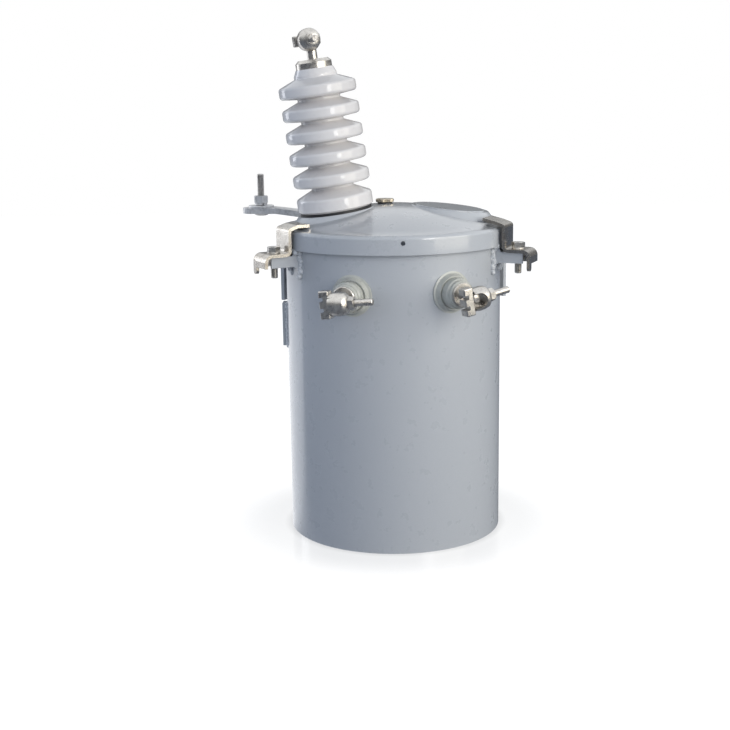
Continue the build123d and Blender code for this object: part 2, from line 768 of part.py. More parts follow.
pieces.update(arrester_pieces())
pieces["hanger_upper"] = hanger_piece(
    upper_hanger_bottom, upper_hanger_height, upper_pad_width, upper_arm_overlap
)
lower_hanger_bottom = (
    upper_hanger_bottom + upper_hanger_height / 2 - hanger_spacing - lower_hanger_height / 2
)
pieces["hanger_lower"] = hanger_piece(
    lower_hanger_bottom, lower_hanger_height, lower_pad_width, lower_arm_overlap
)
pieces["ground_bar"] = ground_bar_piece()

os.makedirs("parts", exist_ok=True)
for name, piece in pieces.items():
    export_step(piece, f"parts/{name}.step")
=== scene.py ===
import math
import bmesh
import bpy
from mathutils import Matrix, Vector


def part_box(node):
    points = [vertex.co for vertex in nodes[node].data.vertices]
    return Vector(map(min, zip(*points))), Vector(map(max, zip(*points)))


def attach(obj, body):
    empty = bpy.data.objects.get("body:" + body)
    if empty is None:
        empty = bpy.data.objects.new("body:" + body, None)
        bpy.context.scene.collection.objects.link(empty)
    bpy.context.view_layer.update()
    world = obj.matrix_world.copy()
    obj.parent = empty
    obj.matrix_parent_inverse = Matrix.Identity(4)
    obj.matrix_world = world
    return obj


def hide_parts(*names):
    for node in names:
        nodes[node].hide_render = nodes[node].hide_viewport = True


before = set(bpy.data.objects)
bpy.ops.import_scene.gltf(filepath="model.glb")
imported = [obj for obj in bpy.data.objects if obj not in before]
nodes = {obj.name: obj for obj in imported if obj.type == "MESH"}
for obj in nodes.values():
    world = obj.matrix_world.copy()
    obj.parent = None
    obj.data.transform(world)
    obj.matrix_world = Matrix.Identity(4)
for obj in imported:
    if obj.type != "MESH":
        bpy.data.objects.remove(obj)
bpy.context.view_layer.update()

# ---------------------------------------------------------------- camera
# The viewer stands about two metres in front of the unit, a little left of its middle,
# and looks slightly down at it with a long lens.
yaw = math.radians(3.423)
down = math.radians(11.954)
roll = -0.014835                 # radians
eye = Vector((-0.17605, -2.12069, 0.72354))
forward = Vector((math.sin(yaw) * math.cos(down), math.cos(yaw) * math.cos(down), -math.sin(down)))
level = Vector((math.cos(yaw), -math.sin(yaw), 0.0))
upright = level.cross(forward)
right_hand = level * math.cos(roll) + upright * math.sin(roll)
overhead = upright * math.cos(roll) - level * math.sin(roll)
lens = bpy.data.cameras.new("camera")
lens.lens = 63.195
lens.sensor_width = 36.0
camera = bpy.data.objects.new("camera", lens)
camera.matrix_world = Matrix((
    (right_hand.x, overhead.x, -forward.x, eye.x),
    (right_hand.y, overhead.y, -forward.y, eye.y),
    (right_hand.z, overhead.z, -forward.z, eye.z),
    (0.0, 0.0, 0.0, 1.0),
))
bpy.context.scene.collection.objects.link(camera)
bpy.context.scene.camera = camera
bpy.context.scene.view_settings.view_transform = "Standard"


# ---------------------------------------------------------------- floor and light
# A white studio sweep: the floor reads white where nothing shades it and keeps a pale shadow
# under the tank, with a painted shadow line round its foot. A large soft lamp and a small
# window-like one stand at the front right, and a narrow strip at the left, a little behind.
# Gloss mirrors a cool room and, at the left, a floor glow that is a painted reflection of a lit floor.
def put(tree, kind, inputs=None, **properties):
    """Add a node to a tree. An input is given as a value or as another node's output."""
    added = tree.nodes.new(kind)
    for key, value in properties.items():
        setattr(added, key, value)
    for key, value in (inputs or {}).items():
        if isinstance(value, bpy.types.NodeSocket):
            tree.links.new(value, added.inputs[key])
        else:
            added.inputs[key].default_value = value
    return added


def lamp(name, place, target, size, power, colour):
    """Rectangular lamp that faces a point; its size is its width and height."""
    light = bpy.data.lights.new(name, "AREA")
    light.shape = "RECTANGLE"
    light.size, light.size_y = size
    light.energy = power
    light.color = colour
    holder = bpy.data.objects.new(name, light)
    holder.location = place
    holder.rotation_euler = (Vector(target) - Vector(place)).to_track_quat("-Z", "Y").to_euler()
    bpy.context.scene.collection.objects.link(holder)


def ramp(tree, value, low_at, high_at, low=0.0, high=1.0, way="SMOOTHSTEP"):
    """Number that goes from low to high as the value goes from low_at to high_at."""
    ranged = put(tree, "ShaderNodeMapRange", {
        "Value": value, "From Min": low_at, "From Max": high_at, "To Min": low, "To Max": high},
        interpolation_type=way)
    return ranged.outputs["Result"]


def reach(tree, vector, way):
    """How far a place or a direction goes one way."""
    made = put(tree, "ShaderNodeVectorMath", {0: vector, 1: way}, operation="DOT_PRODUCT")
    return made.outputs["Value"]


def math_of(tree, operation, first, second=0.0):
    """One Math node's result."""
    return put(tree, "ShaderNodeMath", {0: first, 1: second}, operation=operation).outputs[0]


world = bpy.data.worlds.new("room")
bpy.context.scene.world = world
world.use_nodes = True
room = world.node_tree
room.nodes.clear()
seen = put(room, "ShaderNodeLightPath")
ways = put(room, "ShaderNodeTexCoord")
height = reach(room, ways.outputs["Generated"], (0.0, 0.0, 1.0))
cool = put(room, "ShaderNodeBackground", {
    "Color": (0.72, 0.82, 1.0, 1.0), "Strength": ramp(room, height, 0.1, 0.9, low=1.50, high=0.12)})
white = put(room, "ShaderNodeBackground", {"Color": (1.0, 1.0, 1.0, 1.0), "Strength": 1.0})
mirrored = put(room, "ShaderNodeBackground", {
    "Color": (0.96, 0.98, 1.0, 1.0), "Strength": ramp(room, height, 0.22, 0.38, low=0.20, high=1.15)})
lit = put(room, "ShaderNodeMixShader", {
    0: seen.outputs["Is Glossy Ray"], 1: cool.outputs[0], 2: mirrored.outputs[0]})
open_view = math_of(
    room, "MAXIMUM", seen.outputs["Is Camera Ray"], seen.outputs["Is Transmission Ray"])
both = put(room, "ShaderNodeMixShader", {0: open_view, 1: lit.outputs[0], 2: white.outputs[0]})
put(room, "ShaderNodeOutputWorld", {"Surface": both.outputs[0]})

lamp("key", (2.36, -1.73, 1.25), (0.0, 0.0, 0.3), (2.2, 2.3), power=46.0, colour=(1.0, 0.94, 0.80))
lamp("window", (1.45, -2.50, 1.10), (0.0, 0.0, 0.5), (0.62, 1.3), power=17.0, colour=(1.0, 0.98, 0.94))
lamp("strip", (-1.90, 1.15, 0.90), (0.0, 0.0, 0.7), (0.65, 1.25), power=8.0, colour=(0.94, 0.96, 1.0))

edge = 6.0                       # from the tank's axis to each side of the floor
painted_foot_shadow = (0.176, 0.194)      # a painted shadow line at the tank's foot fades between these radii,
tank_shade = (0.2, 0.34)         # the pale shade round the tank between these,
sheen = (0.20, 0.30)             # the floor's own gloss between these
glow_fade = (1.5, 5.0)            # and the painted glow, far out, fades between these
behind = (0.5, 0.866, 0.0)       # the painted glow begins this way,
glow_past = (-0.20, -0.08)        # between these two places,
to_right = (1.0, 0.0, 0.0)       # and ends to the right
glow_left = (-0.15, 0.15)         # between these two

sweep = bpy.data.meshes.new("floor")
corners = [(-edge, -edge, 0), (edge, -edge, 0), (edge, edge, 0), (-edge, edge, 0)]
sweep.from_pydata(corners, [], [(0, 1, 2, 3)])
floor = bpy.data.objects.new("floor", sweep)
bpy.context.scene.collection.objects.link(floor)
paper = bpy.data.materials.new("floor")
paper.use_nodes = True
tree = paper.node_tree
tree.nodes.clear()
seen = put(tree, "ShaderNodeLightPath")
spot = put(tree, "ShaderNodeTexCoord").outputs["Object"]
away = put(tree, "ShaderNodeVectorMath", {0: spot}, operation="LENGTH").outputs["Value"]
matt = put(tree, "ShaderNodeBsdfDiffuse", {"Color": (0.28, 0.29, 0.31, 1.0)})
pale = put(tree, "ShaderNodeBsdfDiffuse", {"Color": (0.16, 0.16, 0.16, 1.0)})
# The floor's glow dims at the tank's foot: a painted contact shadow.
lift = put(tree, "ShaderNodeEmission", {"Color": (1.0, 1.0, 1.0, 1.0), "Strength": math_of(
    tree, "MULTIPLY", ramp(tree, away, *painted_foot_shadow, low=0.80), ramp(tree, away, *tank_shade, low=0.86))})
plain = put(tree, "ShaderNodeAddShader", {0: pale.outputs[0], 1: lift.outputs[0]})
polish = put(tree, "ShaderNodeBsdfGlossy", {"Color": (1.0, 1.0, 1.0, 1.0), "Roughness": 0.06})
shown = put(tree, "ShaderNodeMixShader", {
    0: ramp(tree, away, *sheen, low=0.17, high=0.0), 1: plain.outputs[0], 2: polish.outputs[0]})
# Seen only in gloss, the floor glows at the left: a painted reflection of a lit floor.
glow_side = math_of(
    tree, "MULTIPLY", ramp(tree, reach(tree, spot, behind), *glow_past),
    ramp(tree, reach(tree, spot, to_right), *glow_left, low=1.0, high=0.0))
glow = put(tree, "ShaderNodeEmission", {"Color": (1.0, 1.0, 1.0, 1.0), "Strength": math_of(
    tree, "MULTIPLY", glow_side, ramp(tree, away, *glow_fade, low=1.0, high=0.3))})
mirrored = put(tree, "ShaderNodeAddShader", {0: matt.outputs[0], 1: glow.outputs[0]})
lit = put(tree, "ShaderNodeMixShader", {
    0: seen.outputs["Is Glossy Ray"], 1: matt.outputs[0], 2: mirrored.outputs[0]})
both = put(tree, "ShaderNodeMixShader", {
    0: seen.outputs["Is Camera Ray"], 1: lit.outputs[0], 2: shown.outputs[0]})
put(tree, "ShaderNodeOutputMaterial", {"Surface": both.outputs[0]})
sweep.materials.append(paper)


# ---------------------------------------------------------------- tank and cover
# The tank is rolled from sheet and the cover is pressed; both are sprayed with a light grey
# gloss enamel: a slightly wavy coat with a fine orange peel, a little dust on it and faint
# dull patches.
def finish_of(name):
    """New material with its node tree and its main shader."""
    made = bpy.data.materials.new(name)
    made.use_nodes = True
    return made, made.node_tree, made.node_tree.nodes["Principled BSDF"]


def blotches(tree, scale, detail=4.0, roughness=0.6, stretch=(1.0, 1.0, 1.0)):
    """Noise through the object's own coordinates; scale is in cells to the metre."""
    place = put(tree, "ShaderNodeTexCoord")
    stretched = put(tree, "ShaderNodeMapping", {"Vector": place.outputs["Object"], "Scale": stretch})
    noise = put(tree, "ShaderNodeTexNoise", {
        "Vector": stretched.outputs["Vector"], "Scale": scale, "Detail": detail, "Roughness": roughness})
    return noise.outputs["Fac"]


def between(tree, factor, low, high, low_at=0.3, high_at=0.7):
    """Number between two, by a noise's factor: low up to low_at and high from high_at on."""
    return ramp(tree, factor, low_at, high_at, low, high, "LINEAR")


def tint(tree, factor, first, second):
    """Colour between two, by a factor; each is a plain colour or another node's."""
    mixed = put(tree, "ShaderNodeMix", {"Factor": factor}, data_type="RGBA")
    for socket, colour in (("A", first), ("B", second)):
        target = [s for s in mixed.inputs if s.name == socket and s.type == "RGBA"][0]
        if isinstance(colour, bpy.types.NodeSocket):
            tree.links.new(colour, target)
        else:
            target.default_value = (*colour, 1.0)
    return [s for s in mixed.outputs if s.type == "RGBA"][0]


def relief(tree, height, distance, strength=1.0, under=None):
    """Bump of a real depth in metres, on top of another one where given."""
    inputs = {"Height": height, "Distance": distance, "Strength": strength}
    if under is not None:
        inputs["Normal"] = under
    return put(tree, "ShaderNodeBump", inputs).outputs["Normal"]


def join_up(tree, gloss, colour, roughness, normal):
    """Feed colour, roughness and relief to the main shader."""
    tree.links.new(colour, gloss.inputs["Base Color"])
    tree.links.new(roughness, gloss.inputs["Roughness"])
    tree.links.new(normal, gloss.inputs["Normal"])


def dress(piece, material, soften=0.0):
    """Give a CAD node its finish; soften is the width of its rounded edges."""
    crease = math.radians(28.0)
    shape = piece.data
    shape.materials.clear()
    shape.materials.append(material)
    shape.polygons.foreach_set("material_index", [0] * len(shape.polygons))
    shape.polygons.foreach_set("use_smooth", [True] * len(shape.polygons))
    weld = piece.modifiers.new("weld", "WELD")
    weld.merge_threshold = 1e-5
    if soften:
        flat = piece.modifiers.new("flats", "DECIMATE")
        flat.decimate_type = "DISSOLVE"
        flat.angle_limit = math.radians(0.6)
        edge = piece.modifiers.new("edges", "BEVEL")
        edge.width = soften
        edge.segments = 3
        edge.limit_method = "ANGLE"
        edge.angle_limit = crease
        even = piece.modifiers.new("even", "WEIGHTED_NORMAL")
        even.keep_sharp = False
    else:
        split = piece.modifiers.new("edges", "EDGE_SPLIT")
        split.split_angle = crease


paint, tree, gloss = finish_of("tank_paint")
large = blotches(tree, 5.0, 3.0)
middle = blotches(tree, 40.0, 5.0)
peel = blotches(tree, 900.0, 2.0, 0.4)
dust = blotches(tree, 260.0, 3.0, 0.6)
coat = tint(tree, between(tree, large, 0.0, 1.0), (0.450, 0.463, 0.477), (0.462, 0.474, 0.487))
dusty = tint(tree, between(tree, dust, 0.0, 1.0), coat, (0.444, 0.457, 0.471))
wave = relief(tree, large, 0.0018, 0.5)
join_up(tree, gloss, dusty, between(tree, middle, 0.26, 0.32), relief(tree, peel, 0.00008, 0.15, wave))
gloss.inputs["Coat Weight"].default_value = 0.8
gloss.inputs["Coat Roughness"].default_value = 0.09

for name in ("tank_wall", "tank_floor", "cover", "cover_plate"):
    dress(nodes[name], paint)


# ---------------------------------------------------------------- lugs and hangers with their welds
# The lugs are pressed channels, the hangers are folded plate and the ground bar is a flat bar.
# All are welded to the wall by hand before painting: lumpy beads, a little lighter where the
# paint lies thick on them. The wall has its own long seam at the back and one round its foot.
def node_tree_for_shapes(name, inputs):
    """Empty Geometry Nodes tree with named inputs; gives the tree and its input node."""
    made = bpy.data.node_groups.new(name, "GeometryNodeTree")
    made.interface.new_socket(name="Geometry", in_out="INPUT", socket_type="NodeSocketGeometry")
    for label, kind in inputs.items():
        made.interface.new_socket(name=label, in_out="INPUT", socket_type="NodeSocket" + kind)
    made.interface.new_socket(name="Geometry", in_out="OUTPUT", socket_type="NodeSocketGeometry")
    return made, put(made, "NodeGroupInput")


def close_tree(made, shape, material):
    """End a tree in Realize Instances, smooth faces and Set Material."""
    whole = put(made, "GeometryNodeRealizeInstances", {"Geometry": shape})
    smooth = put(made, "GeometryNodeSetShadeSmooth", {"Geometry": whole.outputs[0]})
    coated = put(made, "GeometryNodeSetMaterial", {"Geometry": smooth.outputs[0], "Material": material})
    put(made, "NodeGroupOutput", {"Geometry": coated.outputs[0]})


def grown(made, start, **sizes):
    """Plain mesh that a tree makes from a start mesh and its named sizes."""
    carrier = bpy.data.objects.new("carrier", start)
    bpy.context.scene.collection.objects.link(carrier)
    modifier = carrier.modifiers.new("grow", "NODES")
    modifier.node_group = made
    for item in made.interface.items_tree:
        if item.item_type == "SOCKET" and item.in_out == "INPUT" and item.name in sizes:
            modifier[item.identifier] = sizes[item.name]
    ready = carrier.evaluated_get(bpy.context.evaluated_depsgraph_get())
    shape = bpy.data.meshes.new_from_object(ready)
    carrier.modifiers.remove(modifier)
    bpy.data.objects.remove(carrier)
    return shape


def add_piece(name, shape, slot, *replaced):
    """Put a finished mesh into the scene as a piece of the unit."""
    piece = bpy.data.objects.new(name, shape)
    shape.name = name
    bpy.context.scene.collection.objects.link(piece)
    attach(piece, "root")
    if replaced:
        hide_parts(*replaced)


def turn_of(degrees, axis):
    """Turn about an axis through the origin."""
    return Matrix.Rotation(math.radians(degrees), 4, axis)


def around_axis(azimuth):
    """Turn about the tank's axis that carries +X to an azimuth, from the front towards +X."""
    return turn_of(azimuth - 90.0, "Z")


drop_least, drop_most = 0.70, 1.18    # smallest and largest drop of a bead, in radii
stray = 0.45                          # how far a drop may lie off its line each way, in radii
bead_tree, given = node_tree_for_shapes("weld_bead", {
    "Radius": "Float", "Step": "Float", "Seed": "Int", "Finish": "Material"})
line = put(bead_tree, "GeometryNodeMeshToCurve", {"Mesh": given.outputs["Geometry"]})
steps = put(bead_tree, "GeometryNodeResampleCurve", {
    "Curve": line.outputs[0], "Length": given.outputs["Step"]}, mode="LENGTH")
drop = put(bead_tree, "GeometryNodeMeshUVSphere", {"Segments": 12, "Rings": 8, "Radius": 1.0})
share = put(bead_tree, "FunctionNodeRandomValue", {
    2: drop_least, 3: drop_most, "Seed": given.outputs["Seed"]})
drop_size = math_of(bead_tree, "MULTIPLY", share.outputs[1], given.outputs["Radius"])
shift = put(bead_tree, "FunctionNodeRandomValue", {
    0: (-stray, -stray, -stray), 1: (stray, stray, stray), "Seed": given.outputs["Seed"]},
    data_type="FLOAT_VECTOR")
shift_size = put(bead_tree, "ShaderNodeVectorMath", {
    0: shift.outputs[0], "Scale": given.outputs["Radius"]}, operation="SCALE")
moved = put(bead_tree, "GeometryNodeSetPosition", {
    "Geometry": steps.outputs[0], "Offset": shift_size.outputs[0]})
drops = put(bead_tree, "GeometryNodeInstanceOnPoints", {
    "Points": moved.outputs[0], "Instance": drop.outputs["Mesh"], "Scale": drop_size})
close_tree(bead_tree, drops.outputs[0], given.outputs["Finish"])


def bead(paths, radius, step, seed, finish):
    """Weld bead along lines of points: drops of about a radius, a step apart."""
    start = bpy.data.meshes.new("path")
    points = [point for path in paths for point in path]
    edges = []
    first = 0
    for path in paths:
        edges += [(first + i, first + i + 1) for i in range(len(path) - 1)]
        first += len(path)
    start.from_pydata(points, edges, [])
    return grown(bead_tree, start, Radius=radius, Step=step, Seed=seed, Finish=finish)


weld_paint, tree, gloss = finish_of("weld_paint")
fine = blotches(tree, 420.0, 5.0, 0.7)
pale_grey = tint(tree, between(tree, fine, 0.0, 1.0), (0.50, 0.51, 0.52), (0.72, 0.73, 0.73))
join_up(tree, gloss, pale_grey, between(tree, fine, 0.22, 0.42), relief(tree, fine, 0.0004, 0.6))

wall_sheet = 0.0026
wall_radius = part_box("tank_floor")[1].x + wall_sheet
lug_azimuths = {"left": -66.0, "right": 64.0, "back": 180.0}
lug_half = 0.017                 # half of a lug's width
side_off = 0.0008                # side beads, out from the lug's side and from the wall
side_ends = (0.001, 0.0035)      # from the lug's lower and upper ends to the ends of those beads
corner_off = 0.001               # corner beads, out from the lug's side
corner_run = (0.001, 0.009)      # from the wall to where they begin and end, level with the lug's top
top_half = 0.014                 # half of the top bead's length
top_out = 0.0035                 # top bead, from the wall
top_drop = 0.0022                # top bead, below the lug's top
arm_azimuths = {"upper": 119.5, "lower": 128.2}   # where each hanger's arms touch the wall
arm_half = 6.5                   # degrees, from there to the bead on either side
arm_out = 0.001                  # those beads, out from the wall
arm_ends = 0.003                 # from the arm's edges to their ends
bar_azimuth = -96.0
bar_half = 0.0125                # half of the ground bar's width
bar_off = 0.0012                 # its beads, out from its side
bar_out = 0.001                  # and from the wall
seam_azimuth = 152.0
seam_sunk = 0.0012               # middle of the seam's bead, inside the wall's face
seam_start = 0.006               # above the bottom rim
seam_stop = 0.034                # below the lip under the cover
foot_radius = 0.1752             # middle of the foot's bead, from the tank's axis
foot_height = 0.0021             # and above the bottom rim
foot_step = 3                    # degrees between the points of its line
bead_sizes = {                   # radius of a bead's drops, and the step from one to the next
    "lug": (0.0048, 0.0025), "hanger": (0.0027, 0.0024), "ground_bar": (0.0024, 0.0022),
    "seam": (0.0022, 0.0021), "foot": (0.0011, 0.0018)}

for name in [f"lug_{side}" for side in lug_azimuths] + ["hanger_upper", "hanger_lower", "ground_bar"]:
    dress(nodes[name], paint, soften=0.0008)

beads = {}
for side, azimuth in lug_azimuths.items():
    low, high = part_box(f"lug_{side}")
    turn = around_axis(azimuth)
    beside = lug_half + side_off
    depth = math.sqrt(wall_radius**2 - beside**2) + side_off
    heights = (low.z + side_ends[0], high.z - side_ends[1])
    legs = [[turn @ Vector((depth, way * beside, height)) for height in heights] for way in (-1, 1)]
    corners = [
        [turn @ Vector((wall_radius + out, way * (lug_half + corner_off), high.z)) for out in corner_run]
        for way in (-1, 1)]
    top = [turn @ Vector((wall_radius + top_out, way * top_half, high.z - top_drop)) for way in (-1, 1)]
    beads[f"lug_{side}"] = ("lug", legs + corners + [top])

for level_name, azimuth in arm_azimuths.items():
    low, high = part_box(f"hanger_{level_name}")
    edges = (azimuth - arm_half, azimuth + arm_half)
    turns = [around_axis(way * touch) for way in (-1, 1) for touch in edges]
    heights = (low.z + arm_ends, high.z - arm_ends)
    beads[f"hanger_{level_name}"] = ("hanger", [
        [turn @ Vector((wall_radius + arm_out, 0.0, height)) for height in heights] for turn in turns])

low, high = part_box("ground_bar")
turn = around_axis(bar_azimuth)
beside = bar_half + bar_off
depth = math.sqrt(wall_radius**2 - beside**2) + bar_out
beads["ground_bar"] = ("ground_bar", [
    [turn @ Vector((depth, way * beside, height)) for height in (low.z, high.z)] for way in (-1, 1)])

turn = around_axis(seam_azimuth)
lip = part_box("tank_wall")[1].z
beads["seam"] = ("seam", [
    [turn @ Vector((wall_radius - seam_sunk, 0.0, height)) for height in (seam_start, lip - seam_stop)]])

turns = [math.radians(foot_step * k) for k in range(360 // foot_step + 1)]
beads["foot"] = ("foot", [[
    Vector((foot_radius * math.cos(turn), foot_radius * math.sin(turn), foot_height)) for turn in turns]])

for seed, (name, (kind, paths)) in enumerate(beads.items(), 1):
    add_piece(f"weld_{name}", bead(paths, *bead_sizes[kind], seed, weld_paint), "tank_paint")


# ---------------------------------------------------------------- cover clamps
# Each clamp is a strap of bright rolled steel, bent cold over the rim of the cover and bolted
# down to its lug. It has fine rolling lines, a dull film and a few darker stains.
steel, tree, gloss = finish_of("strap_steel")
patch = blotches(tree, 34.0, 5.0, 0.65)
fine = blotches(tree, 320.0, 5.0, 0.7)
rolled = blotches(tree, 500.0, 3.0, 0.6, (1.0, 1.0, 0.06))
bright = tint(tree, between(tree, fine, 0.0, 1.0), (0.42, 0.39, 0.355), (0.60, 0.575, 0.535))
stained = tint(
    tree, between(tree, patch, 0.0, 0.75, low_at=0.52, high_at=0.70), bright, (0.26, 0.22, 0.18))
gloss.inputs["Metallic"].default_value = 1.0
join_up(
    tree, gloss, stained, between(tree, patch, 0.16, 0.34),
    relief(tree, fine, 0.00012, 0.6, relief(tree, rolled, 0.00006, 0.5)))
for side in lug_azimuths:
    dress(nodes[f"clamp_{side}"], steel, soften=0.0011)


# ---------------------------------------------------------------- clamp bolts and nuts
# Zinc plated flanged bolts with rolled threads, each through its strap and lug into a nut
# under the lug. The plating is dull and slightly stained.
bar_tree, given = node_tree_for_shapes("grooved_bar", {
    "Radius": "Float", "Length": "Float", "Sides": "Int", "Rings": "Int", "Grooves round": "Float",
    "Grooves along": "Float", "Depth": "Float", "Bevel": "Float", "Finish": "Material"})
blank = put(bar_tree, "GeometryNodeMeshCylinder", {
    "Vertices": given.outputs["Sides"], "Side Segments": given.outputs["Rings"],
    "Radius": given.outputs["Radius"], "Depth": given.outputs["Length"]})
spot = put(bar_tree, "GeometryNodeInputPosition")
axes = put(bar_tree, "ShaderNodeSeparateXYZ", {0: spot.outputs[0]})
angle_round = math_of(bar_tree, "ARCTAN2", axes.outputs[1], axes.outputs[0])
turn_part = math_of(bar_tree, "DIVIDE", angle_round, 2 * math.pi)
round_part = math_of(bar_tree, "MULTIPLY", turn_part, given.outputs["Grooves round"])
along_part = math_of(bar_tree, "MULTIPLY", axes.outputs[2], given.outputs["Grooves along"])
phase = math_of(bar_tree, "PINGPONG", math_of(bar_tree, "ADD", round_part, along_part), 0.5)
groove = math_of(bar_tree, "MULTIPLY", math_of(bar_tree, "MULTIPLY", phase, 2.0), given.outputs["Depth"])
half_length = math_of(bar_tree, "MULTIPLY", given.outputs["Length"], 0.5)
from_end = math_of(bar_tree, "SUBTRACT", half_length, math_of(bar_tree, "ABSOLUTE", axes.outputs[2]))
within_bevel = math_of(bar_tree, "SUBTRACT", given.outputs["Bevel"], from_end)
taken = math_of(bar_tree, "MAXIMUM", groove, math_of(bar_tree, "MAXIMUM", within_bevel, 0.0))
left_over = math_of(bar_tree, "SUBTRACT", given.outputs["Radius"], taken)
kept_part = math_of(bar_tree, "DIVIDE", left_over, given.outputs["Radius"])
new_spot = put(bar_tree, "ShaderNodeCombineXYZ", {
    0: math_of(bar_tree, "MULTIPLY", axes.outputs[0], kept_part),
    1: math_of(bar_tree, "MULTIPLY", axes.outputs[1], kept_part), 2: axes.outputs[2]})
shaped = put(bar_tree, "GeometryNodeSetPosition", {
    "Geometry": blank.outputs["Mesh"], "Position": new_spot.outputs[0]})
close_tree(bar_tree, shaped.outputs[0], given.outputs["Finish"])


def threaded(radius, length, pitch, finish):
    """Rolled thread with bevelled ends, centred on the origin along Z, six rings to each turn."""
    return grown(
        bar_tree, bpy.data.meshes.new("blank"), Radius=radius, Length=length, Sides=36,
        Rings=int(length / pitch * 6), Depth=0.61 * pitch, Bevel=0.9 * pitch, Finish=finish,
        **{"Grooves round": -1.0, "Grooves along": 1.0 / pitch})


def circle(made, radius, height, around):
    """Ring of points about Z in a bmesh; without a radius it is one point, repeated."""
    if not radius:
        return [made.verts.new((0.0, 0.0, height))] * around
    turns = [2 * math.pi * k / around for k in range(around)]
    return [made.verts.new((radius * math.cos(turn), radius * math.sin(turn), height)) for turn in turns]


def skin(made, rings):
    """Faces from each ring of points to the next."""
    for lower, upper in zip(rings, rings[1:]):
        for k in range(len(lower)):
            after = (k + 1) % len(lower)
            distinct = list(dict.fromkeys([lower[k], lower[after], upper[after], upper[k]]))
            if len(distinct) > 2:
                made.faces.new(distinct)


def turned(outline):
    """Solid turned about Z from an outline of (radius, height) points."""
    made = bmesh.new()
    rings = [circle(made, radius, height, around=64) for radius, height in outline]
    skin(made, rings + rings[:1])
    return made


def hexagon(across, height, bore, bevel_low=True):
    """Nut or bolt head on Z = 0, with turned bevels at its ends and a bore where given."""
    around = 72
    slope = math.tan(math.radians(28.0))
    flat = across / 2
    bevel_start = flat * 0.97
    bore_bevel = 0.0006
    mouth = bore + bore_bevel if bore else 0.0
    made = bmesh.new()
    rings = [[] for _ in range(6)]
    for k in range(around):
        angle = 2 * math.pi * k / around
        within = (angle + math.pi / 6) % (math.pi / 3) - math.pi / 6
        out = flat / math.cos(within)
        cut = max(0.0, (out - bevel_start) * slope)
        outline = [
            (mouth, 0.0), (bevel_start, 0.0), (out, cut if bevel_low else 0.0),
            (out, height - cut), (bevel_start, height), (mouth, height)]
        for ring, (radius, level_z) in zip(rings, outline):
            if radius == 0.0 and ring:
                ring.append(ring[0])
            else:
                ring.append(made.verts.new((radius * math.cos(angle), radius * math.sin(angle), level_z)))
    if bore:
        rings += [circle(made, bore, level_z, around) for level_z in (height - bore_bevel, bore_bevel)]
    skin(made, rings + rings[:1])
    return made


def fold_in(whole, part, place):
    """Add a mesh or bmesh to a bmesh at a place."""
    if isinstance(part, bmesh.types.BMesh):
        shape = bpy.data.meshes.new("part")
        part.to_mesh(shape)
        part.free()
    else:
        shape = part
    shape.transform(place)
    before = len(whole.faces)
    whole.from_mesh(shape)
    whole.faces.ensure_lookup_table()
    for face in whole.faces[before:]:
        face.material_index = 0
        face.smooth = True
    bpy.data.meshes.remove(shape)


def finished(name, whole, material, slot, *replaced):
    """Close a bmesh into a piece: doubles merged, faces outwards, creases sharp."""
    bmesh.ops.remove_doubles(whole, verts=whole.verts, dist=1e-6)
    bmesh.ops.recalc_face_normals(whole, faces=whole.faces)
    for join in whole.edges:
        if len(join.link_faces) == 2 and join.calc_face_angle() > math.radians(30.0):
            join.smooth = False
    shape = bpy.data.meshes.new(name)
    whole.to_mesh(shape)
    whole.free()
    shape.materials.append(material)
    add_piece(name, shape, slot, *replaced)


def upright_at(middle, height):
    """Place at a height on the upright axis through a piece's middle."""
    return Matrix.Translation((middle.x, middle.y, height))


zinc, tree, gloss = finish_of("bolt_zinc")
fine = blotches(tree, 420.0, 5.0, 0.7)
patch = blotches(tree, 130.0, 4.0)
gloss.inputs["Metallic"].default_value = 1.0
plated = tint(tree, between(tree, fine, 0.0, 1.0), (0.48, 0.47, 0.45), (0.70, 0.69, 0.67))
stained = tint(
    tree, between(tree, patch, 0.0, 0.8, low_at=0.55, high_at=0.72), plated, (0.20, 0.17, 0.14))
join_up(tree, gloss, stained, between(tree, fine, 0.25, 0.48), relief(tree, fine, 0.0001, 0.6))

bolt_radius = 0.006
bolt_pitch = 0.00175
nut_bore = bolt_radius - 0.0004  # inside the crests of the thread
flats = 0.019                    # bolt head and nut, across their flats
spin = turn_of(17.0, "Z")        # of the head's and the nut's flats
lug_ear = 0.008                  # the lug's upstand, above the face on which the strap lies
strap_sheet = 0.005
head_start = 0.0022              # lower end of the head's hexagon, above the flange's seat
shank_start = 0.001              # upper end of the thread, above the flange's seat
flange_outline = [
    (0.0, 0.0), (0.0103, 0.0), (0.0106, 0.0008), (0.0103, 0.0016), (0.0088, 0.0026), (0.0, 0.0030)]
for side in lug_azimuths:
    low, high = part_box(f"clamp_bolt_{side}")
    nut_low, nut_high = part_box(f"clamp_nut_{side}")
    middle = (nut_low + nut_high) / 2
    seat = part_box(f"lug_{side}")[1].z - lug_ear + strap_sheet
    head_foot = seat + head_start
    shank_top = seat + shank_start
    whole = bmesh.new()
    fold_in(whole, turned(flange_outline), upright_at(middle, seat))
    head = hexagon(flats, high.z - head_foot, 0.0, bevel_low=False)
    fold_in(whole, head, upright_at(middle, head_foot) @ spin)
    shank = threaded(bolt_radius, shank_top - low.z, bolt_pitch, zinc)
    fold_in(whole, shank, upright_at(middle, (shank_top + low.z) / 2))
    finished(f"bolt_{side}", whole, zinc, "bolt_zinc", f"clamp_bolt_{side}")
    whole = bmesh.new()
    nut = hexagon(flats, nut_high.z - nut_low.z, nut_bore)
    fold_in(whole, nut, upright_at(middle, nut_low.z) @ spin)
    finished(f"nut_{side}", whole, zinc, "bolt_zinc", f"clamp_nut_{side}")


